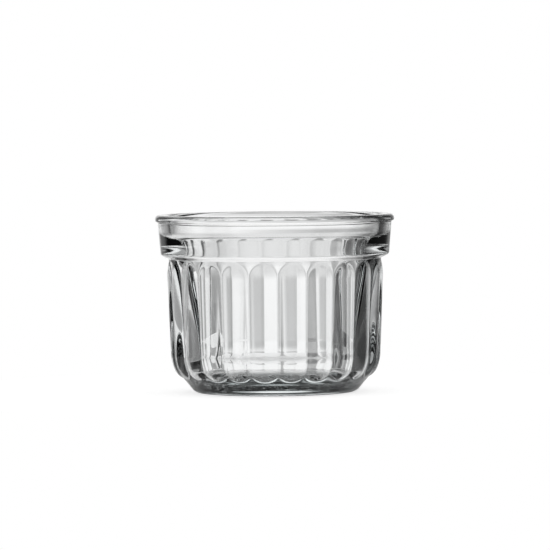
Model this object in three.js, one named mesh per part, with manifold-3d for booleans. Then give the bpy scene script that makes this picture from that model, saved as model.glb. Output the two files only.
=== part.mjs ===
// Sauce bowl of clear pressed glass, in millimetres.
// +Z is up, the axis of the bowl is Z, and the bowl stands on z = 0.

import * as THREE from 'three';
import { mergeVertices } from 'three/addons/utils/BufferGeometryUtils.js';
import Module from 'manifold-3d';

// Overall size
const height = 53.6;
const rimDiameter = 72;

// Rim: a round bead that stands proud of the collar, with a softened inner edge
const rimThickness = 4.2;
const beadHeight = 2.1;
const beadProud = 0.75;
const beadTopRound = 1.3;
const beadUndersideRound = 0.45;
const rimInnerRound = 1.5;

// Collar: the plain band under the bead, drawn in a little towards its foot
const collarHeight = 10.05;
const collarTaper = 0.85;
const collarEdgeRound = 1.0;
const beadCornerRound = 0.25;

// Step: the sloping underside of the collar
const stepDepth = 2.4;
const stepDrop = 1.1;
const stepCornerRound = 0.4;

// Body: the wall that carries the ribs, its heel and the foot
const bodyTaper = 1.3;
const heelAngle = THREE.MathUtils.degToRad(40);
const heelRound = 11.8;
const footInset = 6.5;
const footEdgeRound = 3.2;

// Underside: a flat ring to stand on round a shallow hollow
const standingRingWidth = 7.3;
const hollowDepth = 0.7;
const hollowSlopeWidth = 1.6;
const hollowRound = 1.2;

// Inside: mouth, the funnel under it, wall and floor
const mouthTaper = 0.45;
const funnelDepth = 6.1;
const funnelDrop = 7.5;
const funnelTopRound = 10;
const funnelFootRound = 10;
const wallThickness = 3.5;
const floorThickness = 7;
const innerTaper = 4;
const innerCornerRound = 2.5;

// Ribs: round-topped pillows side by side on the wall, running round the heel to a short toe
const ribCount = 23;
const ribHeight = 0.75;
const grooveWidth = 0.45;
const ribTopMargin = 0.8;
const ribArchLength = 4.6;
const ribHeelTurn = THREE.MathUtils.degToRad(23.5);
const ribToeLength = 3.2;
const ribRoot = 0.3;

// Fineness of the facets
const turnPerFacet = THREE.MathUtils.degToRad(30);
const roundSegments = 72;
const ribSectionFacets = 4;
const archFacets = 3;
const heelFacets = 2;
const toeFacets = 2;
const weldDistance = 1e-4;

// Radii and levels that follow from the sizes above
const rimRadius = rimDiameter / 2;
const collarTopRadius = rimRadius - beadProud;
const collarFootRadius = collarTopRadius - collarTaper;
const bodyTopRadius = collarFootRadius - stepDepth;
const heelCornerRadius = bodyTopRadius - bodyTaper;
const footRadius = heelCornerRadius - footInset;
const heelCornerLevel = footInset / Math.tan(heelAngle);
const beadUndersideLevel = height - beadHeight;
const collarFootLevel = beadUndersideLevel - collarHeight;
const bodyTopLevel = collarFootLevel - stepDrop;
const hollowRadius = footRadius - standingRingWidth;
const mouthRadius = rimRadius - rimThickness;
const funnelLevel = height - funnelDepth;
const innerWallTopRadius = bodyTopRadius - wallThickness;

// A corner of the outline: distance from the axis, level, and the radius that rounds it.
function corner(radius, level, round = 0) {
  return { point: new THREE.Vector2(radius, level), round };
}

const wallTopCorner = corner(bodyTopRadius, bodyTopLevel, stepCornerRound);
const heelCorner = corner(heelCornerRadius, heelCornerLevel, heelRound);
const footCorner = corner(footRadius, 0, footEdgeRound);

const bowlOutline = [
  corner(0, hollowDepth),
  corner(hollowRadius - hollowSlopeWidth, hollowDepth, hollowRound),
  corner(hollowRadius, 0, hollowRound),
  footCorner,
  heelCorner,
  wallTopCorner,
  corner(collarFootRadius, collarFootLevel, collarEdgeRound),
  corner(collarTopRadius, beadUndersideLevel, beadCornerRound),
  corner(rimRadius, beadUndersideLevel, beadUndersideRound),
  corner(rimRadius, height, beadTopRound),
  corner(mouthRadius, height, rimInnerRound),
  corner(mouthRadius - mouthTaper, funnelLevel, funnelTopRound),
  corner(innerWallTopRadius, funnelLevel - funnelDrop, funnelFootRound),
  corner(innerWallTopRadius - innerTaper, floorThickness, innerCornerRound),
  corner(0, floorThickness),
];

// The arc that rounds a corner: its centre, its first direction from there, and how far it turns.
function roundedCorner(before, here, after) {
  const back = before.point.clone().sub(here.point).normalize();
  const ahead = after.point.clone().sub(here.point).normalize();
  const opening = Math.acos(back.dot(ahead));
  const reach = here.round / Math.tan(opening / 2);
  const start = here.point.clone().addScaledVector(back, reach);
  const toCentre = back.clone().add(ahead).normalize();
  const centre = here.point.clone().addScaledVector(toCentre, here.round / Math.sin(opening / 2));
  const side = Math.sign(ahead.cross(back));
  return { centre, start, firstAngle: start.clone().sub(centre).angle(), turn: side * (Math.PI - opening) };
}

function pointOnCircle(centre, radius, angle) {
  return new THREE.Vector2(centre.x + radius * Math.cos(angle), centre.y + radius * Math.sin(angle));
}

// The outline as points, with every rounded corner drawn as facets of its arc.
function outlinePoints(corners) {
  return corners.flatMap((here, index) => {
    if (here.round === 0) return [here.point];
    const arc = roundedCorner(corners[index - 1], here, corners[index + 1]);
    const facets = Math.max(2, Math.ceil(Math.abs(arc.turn) / turnPerFacet));
    return Array.from({ length: facets + 1 }, (_, step) =>
      pointOnCircle(arc.centre, here.round, arc.firstAngle + (arc.turn * step) / facets));
  });
}

function revolve(corners) {
  return new THREE.LatheGeometry(outlinePoints(corners), roundSegments).rotateX(Math.PI / 2);
}

// The section of a rib is an arc of this radius: it meets the wall half a groove short of the next rib.
const ribHalfAngle = Math.PI / ribCount - grooveWidth / 2 / bodyTopRadius;
const ribCrestRadius = bodyTopRadius + ribHeight;
const ribEdgeDepth = ribCrestRadius - bodyTopRadius * Math.cos(ribHalfAngle);
const ribRound = ribCrestRadius - (ribCrestRadius ** 2 - bodyTopRadius ** 2) / (2 * ribEdgeDepth);

// The crest line of a rib, in the plane of X and Z. It comes out of the wall round the arch at the top,
// runs down along the wall and round the heel at the height of the rib, and dips in again at the toe.
// Both ends run on below the surface, by the depth of the rib's root.
class RibCrest extends THREE.Curve {
  constructor() {
    super();
    const heel = roundedCorner(footCorner, heelCorner, wallTopCorner);
    const wall = wallTopCorner.point.clone().sub(heelCorner.point).normalize();
    const outward = new THREE.Vector2(wall.y, -wall.x);
    const wallAngle = outward.angle() - 2 * Math.PI;
    const crestRound = heelRound + ribHeight;
    const crestFoot = pointOnCircle(heel.centre, crestRound, wallAngle);
    const heelTop = pointOnCircle(heel.centre, heelRound, wallAngle);
    const springLevel = bodyTopLevel - ribTopMargin - ribArchLength;
    const crestTop = crestFoot.clone().addScaledVector(wall, (springLevel - heelTop.y) / wall.y);
    const runOn = Math.sqrt(1 + ribRoot / ribHeight);
    const archRound = ribArchLength ** 2 / (2 * ribHeight);
    const archTurn = (runOn * ribArchLength) / archRound;
    const archCentre = crestTop.clone().addScaledVector(outward, -archRound);
    const toeRound = 1 / ((2 * ribHeight) / ribToeLength ** 2 + 1 / crestRound);
    const toeTurn = (runOn * ribToeLength) / toeRound;
    const toeAngle = wallAngle - ribHeelTurn;
    const toeCentre = pointOnCircle(heel.centre, crestRound - toeRound, toeAngle);
    const arch = (share) => pointOnCircle(archCentre, archRound, wallAngle + archTurn * (1 - share));
    const straight = (share) => crestTop.clone().lerp(crestFoot, share);
    const bend = (share) => pointOnCircle(heel.centre, crestRound, wallAngle - ribHeelTurn * share);
    const toe = (share) => pointOnCircle(toeCentre, toeRound, toeAngle - toeTurn * share);
    this.stretches = [
      { facets: archFacets, at: arch },
      { facets: 1, at: straight },
      { facets: heelFacets, at: bend },
      { facets: toeFacets, at: toe },
    ];
    this.facets = this.stretches.reduce((sum, stretch) => sum + stretch.facets, 0);
  }

  getPoint(share, target = new THREE.Vector3()) {
    let station = share * this.facets;
    let stretch;
    for (stretch of this.stretches) {
      if (station <= stretch.facets) break;
      station -= stretch.facets;
    }
    const point = stretch.at(Math.min(station / stretch.facets, 1));
    return target.set(point.x, 0, point.y);
  }

  // Stations are counted in facets of each stretch, so equal shares aren't equal lengths.
  getUtoTmapping(share) {
    return share;
  }
}

// One rib with its root in the wall: a shallow segment of a circle swept along the crest line.
function ribBody() {
  const halfAngle = Math.acos(1 - (ribEdgeDepth + ribRoot) / ribRound);
  const section = new THREE.Shape();
  section.absarc(0, ribRound, ribRound, -Math.PI / 2 - halfAngle, -Math.PI / 2 + halfAngle);
  section.closePath();
  const crestLine = new RibCrest();
  return new THREE.ExtrudeGeometry(section, {
    extrudePath: crestLine,
    steps: crestLine.facets,
    curveSegments: ribSectionFacets,
  });
}

const wasm = await Module();
wasm.setup();

function toSolid(geometry) {
  geometry.deleteAttribute('normal');
  geometry.deleteAttribute('uv');
  const welded = mergeVertices(geometry, weldDistance);
  return new wasm.Manifold(new wasm.Mesh({
    numProp: 3,
    vertProperties: new Float32Array(welded.attributes.position.array),
    triVerts: new Uint32Array(welded.index.array),
  }));
}

function toGeometry(solid) {
  const mesh = solid.getMesh();
  const geometry = new THREE.BufferGeometry();
  geometry.setAttribute('position', new THREE.BufferAttribute(mesh.vertProperties, 3));
  geometry.setIndex(new THREE.BufferAttribute(mesh.triVerts, 1));
  geometry.computeVertexNormals();
  return geometry;
}

// The ribs stand side by side all round the wall, with a groove on the -Y axis.
function ribbedBowl() {
  const rib = ribBody();
  const pitch = (2 * Math.PI) / ribCount;
  const firstGroove = -Math.PI / 2;
  let bowl = toSolid(revolve(bowlOutline));
  for (let index = 0; index < ribCount; index += 1) {
    bowl = bowl.add(toSolid(rib.clone().rotateZ(firstGroove + (index + 0.5) * pitch)));
  }
  return toGeometry(bowl);
}

const clearGlass = new THREE.MeshStandardMaterial({
  color: 0xeef2f1,
  roughness: 0.05,
  metalness: 0,
  transparent: true,
  opacity: 0.35,
});

const glassBowl = new THREE.Mesh(ribbedBowl(), clearGlass);
glassBowl.name = 'glass_bowl';

const sauceBowl = new THREE.Group();
sauceBowl.add(glassBowl);

export default sauceBowl;
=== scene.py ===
import math

import bpy
from mathutils import Matrix, Vector


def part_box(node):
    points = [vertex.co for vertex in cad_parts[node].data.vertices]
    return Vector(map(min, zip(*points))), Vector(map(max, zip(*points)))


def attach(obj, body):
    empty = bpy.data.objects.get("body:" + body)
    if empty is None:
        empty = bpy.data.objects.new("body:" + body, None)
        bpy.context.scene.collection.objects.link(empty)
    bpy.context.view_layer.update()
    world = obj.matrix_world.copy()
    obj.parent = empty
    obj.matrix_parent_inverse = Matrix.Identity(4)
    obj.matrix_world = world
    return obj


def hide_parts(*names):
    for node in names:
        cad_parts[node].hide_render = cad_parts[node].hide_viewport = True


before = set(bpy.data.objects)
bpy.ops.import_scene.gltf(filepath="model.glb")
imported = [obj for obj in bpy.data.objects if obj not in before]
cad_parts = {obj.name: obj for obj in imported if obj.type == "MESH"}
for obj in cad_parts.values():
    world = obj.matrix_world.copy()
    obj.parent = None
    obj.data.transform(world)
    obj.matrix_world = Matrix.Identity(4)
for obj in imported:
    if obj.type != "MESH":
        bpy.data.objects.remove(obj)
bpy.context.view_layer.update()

# Glass bowl: one pressing of clear soda-lime glass, made in one stroke between a ribbed mould,
# a rim ring and a smooth plunger, then fire-polished. It stands loose on the flat ring of its foot.
mm = 0.001
bowl_low, bowl_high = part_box("glass_bowl")
rim_radius = (bowl_high.x - bowl_low.x) / 2
rim_level = bowl_high.z

# Rim bead and collar, drawn by the ring that closes the mould.
rim_thickness = 4.2 * mm
bead_height = 2.1 * mm
bead_proud = 0.75 * mm
bead_top_round = 1.3 * mm
bead_underside_round = 0.45 * mm
bead_corner_round = 0.25 * mm
collar_height = 10.05 * mm
collar_taper = 0.85 * mm
collar_edge_round = 1.0 * mm

# Outside, drawn by the mould: step under the collar, body, heel and foot.
step_depth = 2.4 * mm
step_drop = 1.1 * mm
step_corner_round = 0.4 * mm
body_taper = 1.3 * mm
heel_angle = math.radians(40)
heel_round = 11.8 * mm
foot_inset = 6.5 * mm
foot_edge_round = 3.2 * mm
standing_ring_width = 7.3 * mm
hollow_depth = 0.7 * mm
hollow_slope_width = 1.6 * mm
hollow_round = 1.2 * mm

# Inside, drawn by the plunger: mouth, the funnel under it, wall and floor.
rim_inner_round = 1.5 * mm
mouth_taper = 0.45 * mm
funnel_depth = 6.1 * mm
funnel_drop = 7.5 * mm
funnel_top_round = 10 * mm
funnel_foot_round = 10 * mm
wall_thickness = 3.5 * mm
floor_thickness = 7 * mm
inner_taper = 4 * mm
inner_corner_round = 2.5 * mm

# Ribs of the outside: round-topped pillows side by side, running down round the heel to a short toe.
rib_count = 23
rib_height = 0.75 * mm
groove_width = 0.45 * mm
groove_softness = 0.3
rib_top_margin = 0.8 * mm
rib_arch_length = 4.6 * mm
rib_toe_length = 3.2 * mm
rib_heel_turn = math.radians(23.5)

collar_top_radius = rim_radius - bead_proud
collar_foot_radius = collar_top_radius - collar_taper
body_top_radius = collar_foot_radius - step_depth
heel_corner_radius = body_top_radius - body_taper
foot_radius = heel_corner_radius - foot_inset
heel_corner_level = foot_inset / math.tan(heel_angle)
bead_underside_level = rim_level - bead_height
collar_foot_level = bead_underside_level - collar_height
body_top_level = collar_foot_level - step_drop
hollow_radius = foot_radius - standing_ring_width
mouth_radius = rim_radius - rim_thickness
funnel_level = rim_level - funnel_depth
inner_top_radius = body_top_radius - wall_thickness
rib_pitch = 2 * math.pi / rib_count
rib_half_angle = rib_pitch / 2 - groove_width / 2 / body_top_radius
spring_level = body_top_level - rib_top_margin - rib_arch_length
spring_radius = body_top_radius - body_taper * (body_top_level - spring_level) / (
    body_top_level - heel_corner_level)

# Corners of the outline from the underside's middle, out, up, over the rim and down to the floor's
# middle: distance from the axis, level, radius of the round, rows along it, rows up to it.
bowl_outline = [
    (0, hollow_depth, 0, 0, 0),
    (hollow_radius - hollow_slope_width, hollow_depth, hollow_round, 3, 3),
    (hollow_radius, 0, hollow_round, 3, 1),
    (foot_radius, 0, foot_edge_round, 8, 3),
    (heel_corner_radius, heel_corner_level, heel_round, 24, 12),
    (spring_radius, spring_level, 0, 0, 5),
    (body_top_radius, body_top_level, step_corner_round, 5, 22),
    (collar_foot_radius, collar_foot_level, collar_edge_round, 6, 3),
    (collar_top_radius, bead_underside_level, bead_corner_round, 4, 6),
    (rim_radius, bead_underside_level, bead_underside_round, 5, 1),
    (rim_radius, rim_level, bead_top_round, 8, 1),
    (mouth_radius, rim_level, rim_inner_round, 8, 2),
    (mouth_radius - mouth_taper, funnel_level, funnel_top_round, 6, 2),
    (inner_top_radius, funnel_level - funnel_drop, funnel_foot_round, 6, 4),
    (inner_top_radius - inner_taper, floor_thickness, inner_corner_round, 14, 6),
    (0, floor_thickness, 0, 0, 4),
]


def draw_outline(corners):
    """Draws the outline with straight pulls and turned corners, from one point on the axis.
    Spin turns left-handed about its axis, so it is given the reversed axis."""
    places = [Vector((radius, 0, level)) for radius, level, *_ in corners]
    bpy.ops.transform.translate(value=places[0])
    pen = places[0]
    for here in range(1, len(corners)):
        round_radius, round_rows, straight_rows = corners[here][2:]
        ahead = (places[here] - places[here - 1]).normalized()
        turn = 0
        if round_radius:
            onward = (places[here + 1] - places[here]).normalized()
            turn = ahead.angle(onward)
            axis = ahead.cross(onward).normalized()
        arc_start = places[here] - ahead * round_radius * math.tan(turn / 2)
        pull = (arc_start - pen) / straight_rows
        for row in range(straight_rows):
            bpy.ops.mesh.extrude_region_move(TRANSFORM_OT_translate={"value": pull})
        pen = arc_start
        if round_radius:
            centre = arc_start + axis.cross(ahead) * round_radius
            bpy.ops.mesh.spin(steps=round_rows, angle=turn, center=centre, axis=-axis)
            pen = centre + Matrix.Rotation(turn, 3, axis) @ (arc_start - centre)


# The outline is drawn from a small plane that is merged to a single point.
bpy.ops.object.select_all(action="DESELECT")
bpy.ops.mesh.primitive_plane_add(size=1 * mm)
bowl = bpy.context.object
bowl.name = "pressed_glass_bowl"
bpy.ops.object.mode_set(mode="EDIT")
bpy.ops.mesh.merge(type="CENTER")
draw_outline(bowl_outline)

# One pitch of the bowl, from groove to groove, is turned from the outline in three goes, so that its
# columns stand closest in the two half grooves.
groove_turn = math.radians(1.3)
groove_columns = 3
rib_columns = 18
bpy.ops.mesh.select_all(action="SELECT")
for columns, angle in (
    (groove_columns, groove_turn),
    (rib_columns, rib_pitch - 2 * groove_turn),
    (groove_columns, groove_turn),
):
    bpy.ops.mesh.spin(steps=columns, angle=angle, center=(0, 0, 0), axis=(0, 0, -1))
bpy.ops.mesh.select_all(action="SELECT")
bpy.ops.mesh.flip_normals()
bpy.ops.object.mode_set(mode="OBJECT")

# Line of the heel: where its round is centred, and the way down the cone under it.
wall_up = Vector((body_taper, 0, body_top_level - heel_corner_level)).normalized()
wall_out = Vector((wall_up.z, 0, -wall_up.x))
cone_down = Vector((-math.sin(heel_angle), 0, -math.cos(heel_angle)))
heel_turn = (-wall_up).angle(cone_down)
heel_corner = Vector((heel_corner_radius, 0, heel_corner_level))
heel_top = heel_corner + wall_up * heel_round * math.tan(heel_turn / 2)
heel_foot = heel_corner + cone_down * heel_round * math.tan(heel_turn / 2)
heel_centre = heel_top - wall_out * heel_round
spring = Vector((spring_radius, 0, spring_level))
middle_of_wall = heel_round - wall_thickness / 2


def way_past_toe(place):
    """How far a point of the outline lies past the turn where a rib begins to run out."""
    past_heel = (place - heel_foot).dot(cone_down)
    if past_heel > 0:
        return heel_round * (heel_turn - rib_heel_turn) + past_heel
    return heel_round * (wall_out.angle(place - heel_centre) - rib_heel_turn)


def rib_share(point):
    """Share of the full rib height by which the outside of one pitch of the bowl stands out at a point."""
    radius = math.hypot(point.x, point.y)
    place = Vector((radius, 0, point.z))
    above_heel = (place - heel_top).dot(wall_up) > 0
    from_heel = place - heel_centre
    outward = from_heel.dot(wall_out) if above_heel else from_heel.length
    if outward < middle_of_wall:
        return 0
    up_arch = max((place - spring).dot(wall_up), 0) / rib_arch_length
    down_toe = 0 if above_heel else max(way_past_toe(place), 0) / rib_toe_length
    across = (math.atan2(point.y, point.x) - rib_pitch / 2) / rib_half_angle
    share = 1 - across ** 2 - up_arch ** 2 - down_toe ** 2
    soft_passage = max(groove_softness - abs(share), 0) ** 2 / (4 * groove_softness)
    return max(share, 0) + soft_passage


# The ribs stand out along the wall's own normals, highest where the weight is 1.
ribbed_wall = bowl.vertex_groups.new(name="ribbed_wall")
for vertex in bowl.data.vertices:
    ribbed_wall.add([vertex.index], rib_share(vertex.co), "REPLACE")
bpy.ops.object.modifier_add(type="DISPLACE")
press = bowl.modifiers[-1]
press.direction = "NORMAL"
press.mid_level = 0
press.strength = rib_height
press.vertex_group = ribbed_wall.name
bpy.ops.object.modifier_apply(modifier=press.name)

# The other pitches are copies set round the axis and welded to each other along the grooves. The whole
# is then turned, so that a groove faces -Y.
weld_distance = 0.01 * mm
bpy.ops.object.mode_set(mode="EDIT")
bpy.ops.mesh.select_all(action="SELECT")
bpy.ops.mesh.spin(
    steps=rib_count - 1, dupli=True, angle=2 * math.pi - rib_pitch, center=(0, 0, 0), axis=(0, 0, -1))
bpy.ops.mesh.select_all(action="SELECT")
bpy.ops.mesh.remove_doubles(threshold=weld_distance)
bpy.ops.mesh.normals_make_consistent(inside=False)
bpy.ops.transform.rotate(value=math.pi / 2, orient_axis="Z", center_override=(0, 0, 0))
bpy.ops.object.mode_set(mode="OBJECT")
bpy.ops.object.shade_smooth()


def linear(hex_colour):
    """Linear colour of an sRGB hex value such as "#ffffff"."""
    shares = [int(hex_colour[place:place + 2], 16) / 255 for place in (1, 3, 5)]
    return [
        share / 12.92 if share <= 0.04045 else ((share + 0.055) / 1.055) ** 2.4
        for share in shares
    ] + [1]


def add_node(tree, kind, settings, inputs):
    """Adds a node with its settings, and with each input set to a value or linked to a socket."""
    node = tree.nodes.new(kind)
    for name, value in settings.items():
        setattr(node, name, value)
    for name, value in inputs.items():
        if isinstance(value, bpy.types.NodeSocket):
            tree.links.new(value, node.inputs[name])
        else:
            node.inputs[name].default_value = value
    return node


# Pressed soda-lime glass, fire-polished: clear, with a faint cool tint where the eye looks through a lot
# of it, and a skin that is not quite even, as pressed glass has. The standing ring has a fine stipple,
# drawn deeper than a real one so that it shows.
wave_length = 9 * mm
wave_height = 0.012 * mm
stipple_size = 0.9 * mm
stipple_depth = 0.6 * mm
glass = bpy.data.materials.new("pressed_soda_lime_glass")
glass.use_nodes = True
nodes = glass.node_tree
nodes.nodes.clear()
place = add_node(nodes, "ShaderNodeTexCoord", {}, {}).outputs["Object"]
waves = add_node(nodes, "ShaderNodeTexNoise", {}, {
    "Vector": place,
    "Scale": 1 / wave_length,
    "Detail": 1.0,
})
wavy_skin = add_node(nodes, "ShaderNodeBump", {}, {
    "Strength": 1.0,
    "Distance": wave_height,
    "Height": waves.outputs["Fac"],
})
grains = add_node(nodes, "ShaderNodeTexVoronoi", {}, {
    "Vector": place,
    "Scale": 1 / stipple_size,
})
level = add_node(nodes, "ShaderNodeSeparateXYZ", {}, {"Vector": place}).outputs["Z"]
on_ring = add_node(nodes, "ShaderNodeMapRange", {}, {
    "Value": level,
    "From Min": stipple_size / 2,
    "From Max": 0.0,
})
stippled_skin = add_node(nodes, "ShaderNodeBump", {}, {
    "Strength": on_ring.outputs["Result"],
    "Distance": stipple_depth,
    "Height": grains.outputs["Distance"],
    "Normal": wavy_skin.outputs["Normal"],
})
glass_body = add_node(nodes, "ShaderNodeBsdfPrincipled", {}, {
    "Base Color": linear("#ffffff"),
    "Roughness": 0.0,
    "IOR": 1.52,
    "Transmission Weight": 1.0,
    "Normal": stippled_skin.outputs["Normal"],
})
glass_tint = add_node(nodes, "ShaderNodeVolumeAbsorption", {}, {
    "Color": linear("#d0e4e6"),
    "Density": 6.0,
})
add_node(nodes, "ShaderNodeOutputMaterial", {}, {
    "Surface": glass_body.outputs["BSDF"],
    "Volume": glass_tint.outputs["Volume"],
})
bowl.data.materials.append(glass)
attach(bowl, "root")
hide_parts("glass_bowl")

# Studio: a white room with soft black cards beside the bowl, as clear glass is lit: they are what draws
# its edges. Only the glass sees the cards; for the camera and the paper's own light the room is white.
# Each card has an azimuth from straight behind the bowl to the right, a half width, the elevations of
# its foot and head, its darkness from 0 to 1 and the softness of its edges, with angles in degrees.
# Some entries are not cards but painted shade: the bowl's shadow on the table behind it and on the paper.
cards_and_painted_shade = [
    (60, 48, -60, 46, 0.45, 10),  # grey sheet on the right
    (68, 42, -60, 46, 0.9, 24),  # black card in front of it
    (10, 9, -9.5, -1.5, 0.5, 7),  # low grey strip just right of the middle
    (-49, 33, -14, 46, 0.6, 10),  # grey sheet on the left
    (-60, 22, -11, 46, 0.95, 12),  # black card in front of it
    (-70, 16, -60, -34, 0.75, 12),  # its shade on the paper
    (-118, 16, -60, 48, 0.95, 10),  # black card on the left, towards the camera
    (0, 40, -20, -9, 0.25, 8),  # painted shade: the bowl's shadow on the table behind it
    (21, 20, -30, -17, 0.65, 5),  # more of that painted shade, to the right
    (180, 85, 9, 120, 0.75, 12),  # dark room behind the camera
    (180, 90, -2, 9, 0.25, 8),  # its dimmer lower part
]
ceiling_foot = 46
ceiling_softness = 12
ceiling_darkness = 0.5


def soft_edge(tree, angle, edge, softness, level):
    """From 0 to the level where an angle passes an edge; a negative softness turns it round."""
    return add_node(tree, "ShaderNodeMapRange", {"interpolation_type": "SMOOTHSTEP"}, {
        "Value": angle,
        "From Min": math.radians(edge - softness / 2),
        "From Max": math.radians(edge + softness / 2),
        "To Max": level,
    }).outputs["Result"]


def studio_light(tree, way, elevation):
    """Light that comes to the bowl along a way with this elevation, past the ceiling and every card."""
    parts = add_node(tree, "ShaderNodeSeparateXYZ", {}, {"Vector": way})
    azimuth = add_node(tree, "ShaderNodeMath", {"operation": "ARCTAN2"}, {
        0: parts.outputs["X"],
        1: parts.outputs["Y"],
    })
    ceiling = soft_edge(tree, elevation, ceiling_foot, ceiling_softness, ceiling_darkness)
    light = add_node(tree, "ShaderNodeMath", {"operation": "SUBTRACT"}, {0: 1.0, 1: ceiling})
    for card_azimuth, half_width, foot, head, darkness, softness in cards_and_painted_shade:
        off_card = add_node(tree, "ShaderNodeMath", {"operation": "SUBTRACT"}, {
            0: azimuth.outputs["Value"],
            1: math.radians(card_azimuth),
        })
        wrapped = add_node(tree, "ShaderNodeMath", {"operation": "WRAP"}, {
            0: off_card.outputs["Value"],
            1: math.pi,
            2: -math.pi,
        })
        aside = add_node(tree, "ShaderNodeMath", {"operation": "ABSOLUTE"}, {0: wrapped.outputs["Value"]})
        across = soft_edge(tree, aside.outputs["Value"], half_width, -softness, darkness)
        above_foot = soft_edge(tree, elevation, foot, softness, 1)
        below_head = soft_edge(tree, elevation, head, -softness, 1)
        upright = add_node(tree, "ShaderNodeMath", {"operation": "MULTIPLY"}, {0: above_foot, 1: below_head})
        cover = add_node(tree, "ShaderNodeMath", {"operation": "MULTIPLY"}, {
            0: across,
            1: upright.outputs["Value"],
        })
        open_share = add_node(tree, "ShaderNodeMath", {"operation": "SUBTRACT"}, {
            0: 1.0,
            1: cover.outputs["Value"],
        })
        light = add_node(tree, "ShaderNodeMath", {"operation": "MULTIPLY"}, {
            0: light.outputs["Value"],
            1: open_share.outputs["Value"],
        })
    return light.outputs["Value"]


studio = bpy.data.worlds.new("white_studio")
bpy.context.scene.world = studio
studio.use_nodes = True
nodes = studio.node_tree
nodes.nodes.clear()
way = add_node(nodes, "ShaderNodeTexCoord", {}, {}).outputs["Generated"]
height = add_node(nodes, "ShaderNodeSeparateXYZ", {}, {"Vector": way}).outputs["Z"]
elevation = add_node(nodes, "ShaderNodeMath", {"operation": "ARCSINE"}, {0: height}).outputs["Value"]
rays = add_node(nodes, "ShaderNodeLightPath", {}, {})
plain = add_node(nodes, "ShaderNodeMath", {"operation": "MAXIMUM"}, {
    0: rays.outputs["Is Camera Ray"],
    1: rays.outputs["Is Diffuse Ray"],
})
strength = add_node(nodes, "ShaderNodeMath", {"operation": "MAXIMUM"}, {
    0: plain.outputs["Value"],
    1: studio_light(nodes, way, elevation),
})
sky = add_node(nodes, "ShaderNodeBackground", {}, {
    "Color": linear("#ffffff"),
    "Strength": strength.outputs["Value"],
})
add_node(nodes, "ShaderNodeOutputWorld", {}, {"Surface": sky.outputs["Background"]})

# Floor: a small round sheet of matt white paper on the table, a hair under the ring that stands on it.
# For the camera it glows into the white behind it and keeps a faint shadow of the bowl. For the glass its
# colour is painted shade: the cards' light pattern as seen from a point above its middle.
floor_radius = 110 * mm
paper_gap = 0.05 * mm
paper_view_level = 80 * mm
paper_tone_in_view = 0.4
paper_glow_in_view = 0.72
bpy.ops.object.select_all(action="DESELECT")
bpy.ops.mesh.primitive_circle_add(
    vertices=96, radius=floor_radius, fill_type="NGON", location=(0, 0, -paper_gap))
floor = bpy.context.object
floor.name = "paper_floor"
paper = bpy.data.materials.new("matt_white_paper")
paper.use_nodes = True
nodes = paper.node_tree
nodes.nodes.clear()
place = add_node(nodes, "ShaderNodeTexCoord", {}, {}).outputs["Object"]
from_axis = add_node(nodes, "ShaderNodeVectorMath", {"operation": "LENGTH"}, {0: place}).outputs["Value"]
looking_down = add_node(nodes, "ShaderNodeMath", {"operation": "ARCTAN2"}, {
    0: -paper_view_level,
    1: from_axis,
})
# The cards' light pattern, painted into the paper's colour as shade.
paper_shade = studio_light(nodes, place, looking_down.outputs["Value"])
rays = add_node(nodes, "ShaderNodeLightPath", {}, {})
# Paper colour: a plain tone for the camera, and the painted shade of the cards for the glass.
paper_colour = add_node(nodes, "ShaderNodeMix", {"data_type": "FLOAT"}, {
    "Factor": rays.outputs["Is Camera Ray"],
    "A": paper_shade,
    "B": paper_tone_in_view,
})
paper_face = add_node(nodes, "ShaderNodeBsdfDiffuse", {}, {"Color": paper_colour.outputs["Result"]})
paper_glow = add_node(nodes, "ShaderNodeMath", {"operation": "MULTIPLY"}, {
    0: rays.outputs["Is Camera Ray"],
    1: paper_glow_in_view,
})
paper_light = add_node(nodes, "ShaderNodeEmission", {}, {
    "Color": linear("#ffffff"),
    "Strength": paper_glow.outputs["Value"],
})
paper_sum = add_node(nodes, "ShaderNodeAddShader", {}, {
    0: paper_face.outputs["BSDF"],
    1: paper_light.outputs["Emission"],
})
add_node(nodes, "ShaderNodeOutputMaterial", {}, {"Surface": paper_sum.outputs["Shader"]})
floor.data.materials.append(paper)

# Camera: a long lens a little above the rim, turned and tilted by a degree or two as the photograph is.
# It stands so far off that the near and the far side of the rim are drawn almost to one scale.
camera_aim = Vector((0, 0, 35.2 * mm))
camera_distance = 1500 * mm
camera_azimuth = math.radians(-1.4)
camera_elevation = math.radians(2.2)
camera_roll = math.radians(-0.5)
picture_width = 165.7 * mm
sensor_width = 36
back = Vector((
    math.sin(camera_azimuth) * math.cos(camera_elevation),
    -math.cos(camera_azimuth) * math.cos(camera_elevation),
    math.sin(camera_elevation),
))
turned = (-back).to_track_quat("-Z", "Y").to_matrix() @ Matrix.Rotation(camera_roll, 3, "Z")
bpy.ops.object.camera_add(location=camera_aim + back * camera_distance, rotation=turned.to_euler())
camera = bpy.context.object
camera.data.sensor_width = sensor_width
camera.data.lens = sensor_width * camera_distance / picture_width
camera.data.clip_end = 10 * camera_distance
bpy.context.scene.camera = camera
bpy.context.scene.view_settings.view_transform = "Standard"

bpy.context.view_layer.update()
